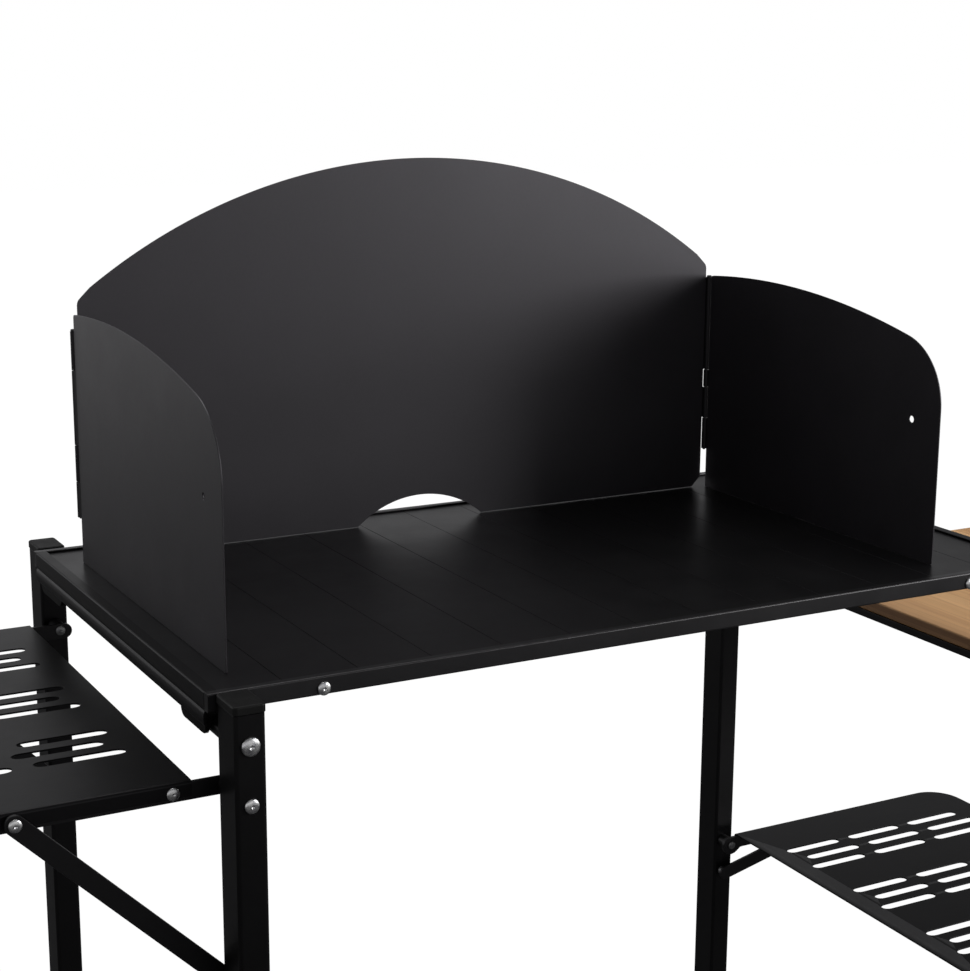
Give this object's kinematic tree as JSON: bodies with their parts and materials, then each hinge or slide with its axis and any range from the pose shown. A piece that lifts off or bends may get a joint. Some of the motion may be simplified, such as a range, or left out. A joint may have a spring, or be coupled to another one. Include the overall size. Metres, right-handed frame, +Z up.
{
  "type": "folding camp kitchen stand",
  "caption": "Folding camp kitchen stand: slatted steel top with a hinged windscreen, fold-down side shelves in slotted steel and bamboo, and two leg frames joined by a scissor brace.",
  "frame": {"origin": "centre of the bounding box's plan, on the floor under the feet", "axes": "+X to the right seen from the front, towards the bamboo wing; +Y to the back, towards the windscreen's back panel; +Z up"},
  "size_m": [1.283, 0.4336, 1.078],
  "materials": {
    "bamboo_arm_front": "satin black powder coat",
    "bamboo_arm_rear": "satin black powder coat",
    "bamboo_board": "satin lacquered bamboo, straight grain along the depth",
    "bamboo_end_rail": "satin black powder coat",
    "bamboo_stay_front": "satin black powder coat",
    "bamboo_stay_rear": "satin black powder coat",
    "bottom_tube_left": "satin black powder coat",
    "bottom_tube_right": "satin black powder coat",
    "brace_bar_a": "satin black powder coat",
    "brace_bar_b": "satin black powder coat",
    "brace_bar_c": "satin black powder coat",
    "brace_bar_d": "satin black powder coat",
    "brace_sleeve_left": "matt black moulded plastic",
    "brace_sleeve_right": "matt black moulded plastic",
    "cap_front_left": "matt black moulded plastic",
    "cap_front_right": "matt black moulded plastic",
    "cap_rear_left": "matt black moulded plastic",
    "cap_rear_right": "matt black moulded plastic",
    "corner_hook_front_left": "matt black moulded plastic",
    "corner_hook_front_right": "matt black moulded plastic",
    "corner_hook_rear_left": "matt black moulded plastic",
    "corner_hook_rear_right": "matt black moulded plastic",
    "foot_front_left": "matt black moulded plastic",
    "foot_front_right": "matt black moulded plastic",
    "foot_rear_left": "matt black moulded plastic",
    "foot_rear_right": "matt black moulded plastic",
    "front_rail": "satin black powder coat",
    "hinge_pin_left": "satin black powder coat",
    "hinge_pin_right": "satin black powder coat",
    "left_arm_front": "satin black powder coat",
    "left_arm_rear": "satin black powder coat",
    "left_rail": "satin black powder coat",
    "left_shelf": "satin black powder coat",
    "left_stay_front": "satin black powder coat",
    "left_stay_rear": "satin black powder coat",
    "leg_front_left": "satin black powder coat",
    "leg_front_right": "satin black powder coat",
    "leg_rear_left": "satin black powder coat",
    "leg_rear_right": "satin black powder coat",
    "lower_arm_front": "satin black powder coat",
    "lower_arm_rear": "satin black powder coat",
    "lower_shelf": "satin black powder coat",
    "lower_stay_front": "satin black powder coat",
    "lower_stay_rear": "satin black powder coat",
    "rail_rivet_front_left": "zinc-plated steel, bright",
    "rail_rivet_front_right": "zinc-plated steel, bright",
    "rail_rivet_rear_left": "zinc-plated steel, bright",
    "rail_rivet_rear_right": "zinc-plated steel, bright",
    "rear_rail": "satin black powder coat",
    "right_rail": "satin black powder coat",
    "screen_back": "satin black powder coat",
    "screen_left": "satin black powder coat",
    "screen_right": "satin black powder coat",
    "slat_deck": "satin black powder coat",
    "top_tube_left": "satin black powder coat",
    "top_tube_right": "satin black powder coat",
    "tube_bolt_front_left": "zinc-plated steel, bright",
    "tube_bolt_front_right": "zinc-plated steel, bright",
    "tube_bolt_rear_left": "zinc-plated steel, bright",
    "tube_bolt_rear_right": "zinc-plated steel, bright"
  },
  "bodies": {
    "left_frame": {"leg_front_left": "leg_front_left", "leg_rear_left": "leg_rear_left", "cap_front_left": "cap_front_left", "cap_rear_left": "cap_rear_left", "foot_front_left": "foot_front_left", "foot_rear_left": "foot_rear_left", "top_tube_left": "top_tube_left", "bottom_tube_left": "bottom_tube_left", "tube_bolt_front_left": "tube_bolt_front_left", "tube_bolt_rear_left": "tube_bolt_rear_left"},
    "table_top": {"front_rail": "front_rail", "rear_rail": "rear_rail", "left_rail": "left_rail", "right_rail": "right_rail", "slat_deck": "slat_deck", "corner_hook_front_left": "corner_hook_front_left", "corner_hook_rear_left": "corner_hook_rear_left", "corner_hook_front_right": "corner_hook_front_right", "corner_hook_rear_right": "corner_hook_rear_right", "rail_rivet_front_left": "rail_rivet_front_left", "rail_rivet_front_right": "rail_rivet_front_right", "rail_rivet_rear_left": "rail_rivet_rear_left", "rail_rivet_rear_right": "rail_rivet_rear_right"},
    "windscreen": {"screen_back": "screen_back", "hinge_pin_left": "hinge_pin_left", "hinge_pin_right": "hinge_pin_right"},
    "screen_left_panel": {"screen_left": "screen_left"},
    "screen_right_panel": {"screen_right": "screen_right"},
    "left_wing": {"left_shelf": "left_shelf", "left_arm_front": "left_arm_front", "left_arm_rear": "left_arm_rear"},
    "left_stays": {"left_stay_front": "left_stay_front", "left_stay_rear": "left_stay_rear"},
    "brace_a": {"brace_bar_a": "brace_bar_a"},
    "brace_b": {"brace_bar_b": "brace_bar_b"},
    "brace_c": {"brace_bar_c": "brace_bar_c"},
    "brace_d": {"brace_bar_d": "brace_bar_d"},
    "slide_left": {"brace_sleeve_left": "brace_sleeve_left"},
    "slide_right": {"brace_sleeve_right": "brace_sleeve_right"},
    "right_frame": {"leg_front_right": "leg_front_right", "leg_rear_right": "leg_rear_right", "cap_front_right": "cap_front_right", "cap_rear_right": "cap_rear_right", "foot_front_right": "foot_front_right", "foot_rear_right": "foot_rear_right", "top_tube_right": "top_tube_right", "bottom_tube_right": "bottom_tube_right", "tube_bolt_front_right": "tube_bolt_front_right", "tube_bolt_rear_right": "tube_bolt_rear_right"},
    "bamboo_wing": {"bamboo_board": "bamboo_board", "bamboo_arm_front": "bamboo_arm_front", "bamboo_arm_rear": "bamboo_arm_rear", "bamboo_end_rail": "bamboo_end_rail"},
    "bamboo_stays": {"bamboo_stay_front": "bamboo_stay_front", "bamboo_stay_rear": "bamboo_stay_rear"},
    "lower_wing": {"lower_shelf": "lower_shelf", "lower_arm_front": "lower_arm_front", "lower_arm_rear": "lower_arm_rear"},
    "lower_stays": {"lower_stay_front": "lower_stay_front", "lower_stay_rear": "lower_stay_rear"}
  },
  "joints": [
    {"name": "top_lift_off", "type": "slide", "parent": "left_frame", "child": "table_top", "axis": [0, 0, 1], "range_m": [0, 0.06]},
    {"name": "windscreen_lift_off", "type": "slide", "parent": "table_top", "child": "windscreen", "axis": [0, 0, 1], "range_m": [0, 0.03]},
    {"name": "screen_left_fold", "type": "hinge", "parent": "windscreen", "child": "screen_left_panel", "pos_m": [-0.295, 0.13705, 0.898], "axis": [0, 0, 1], "range_deg": [-3, 89]},
    {"name": "screen_right_fold", "type": "hinge", "parent": "windscreen", "child": "screen_right_panel", "pos_m": [0.2415, 0.13705, 0.898], "axis": [0, 0, -1], "range_deg": [-13, 88]},
    {"name": "left_wing_fold", "type": "hinge", "parent": "left_frame", "child": "left_wing", "pos_m": [-0.30625, -0.00395, 0.7408], "axis": [0, -1, 0], "range_deg": [0, 90]},
    {"name": "left_stay_swing", "type": "hinge", "parent": "left_wing", "child": "left_stays", "pos_m": [-0.43225, -0.00395, 0.7408], "axis": [0, -1, 0], "range_deg": [-135, 0]},
    {"name": "frame_fold", "type": "hinge", "parent": "left_frame", "child": "brace_a", "pos_m": [-0.30625, 0.21005, 0.025], "axis": [0, -1, 0], "range_deg": [0, 48]},
    {"name": "brace_left_cross", "type": "hinge", "parent": "brace_a", "child": "brace_b", "pos_m": [-0.15313, 0.21005, 0.13579], "axis": [0, -1, 0], "range_deg": [-96.1, 0]},
    {"name": "brace_left_sleeve", "type": "hinge", "parent": "brace_b", "child": "slide_left", "pos_m": [-0.30625, 0.21005, 0.24657], "axis": [0, -1, 0], "range_deg": [0, 48.1]},
    {"name": "brace_middle", "type": "hinge", "parent": "brace_a", "child": "brace_c", "pos_m": [0, 0.21005, 0.24657], "axis": [0, -1, 0], "range_deg": [-96.1, 0]},
    {"name": "brace_right_cross", "type": "hinge", "parent": "brace_c", "child": "brace_d", "pos_m": [0.15313, 0.21005, 0.13579], "axis": [0, -1, 0], "range_deg": [0, 96.1]},
    {"name": "brace_right_sleeve", "type": "hinge", "parent": "brace_d", "child": "slide_right", "pos_m": [0.30625, 0.21005, 0.24657], "axis": [0, -1, 0], "range_deg": [-48.1, 0]},
    {"name": "brace_right_foot", "type": "hinge", "parent": "brace_c", "child": "right_frame", "pos_m": [0.30625, 0.21005, 0.025], "axis": [0, -1, 0], "range_deg": [0, 48.1]},
    {"name": "right_wings_fold", "type": "hinge", "parent": "right_frame", "child": "bamboo_wing", "pos_m": [0.3045, -0.00395, 0.6973], "axis": [0, 1, 0], "range_deg": [0, 90]},
    {"name": "bamboo_stay_swing", "type": "hinge", "parent": "bamboo_wing", "child": "bamboo_stays", "pos_m": [0.4295, -0.00395, 0.6973], "axis": [0, 1, 0], "range_deg": [0, 7.01]},
    {"name": "lower_wing_fold", "type": "hinge", "parent": "right_frame", "child": "lower_wing", "pos_m": [0.3045, -0.00395, 0.45], "axis": [0, 1, 0], "range_deg": [0, 90.1]},
    {"name": "lower_stay_swing", "type": "hinge", "parent": "lower_wing", "child": "lower_stays", "pos_m": [0.4295, -0.00395, 0.45], "axis": [0, 1, 0], "range_deg": [0, 7.01]}
  ],
  "couplings": [
    {"joint": "left_stay_swing", "follows": "left_wing_fold", "ratio": -1.5},
    {"joint": "brace_left_cross", "follows": "frame_fold", "ratio": -2},
    {"joint": "brace_left_sleeve", "follows": "frame_fold", "ratio": 1},
    {"joint": "brace_middle", "follows": "frame_fold", "ratio": -2},
    {"joint": "brace_right_cross", "follows": "frame_fold", "ratio": 2},
    {"joint": "brace_right_sleeve", "follows": "frame_fold", "ratio": -1},
    {"joint": "brace_right_foot", "follows": "frame_fold", "ratio": 1},
    {"joint": "lower_wing_fold", "follows": "right_wings_fold", "ratio": 1},
    {"joint": "bamboo_stay_swing", "follows": "right_wings_fold", "ratio": 0.0778},
    {"joint": "lower_stay_swing", "follows": "right_wings_fold", "ratio": 0.0778}
  ]
}
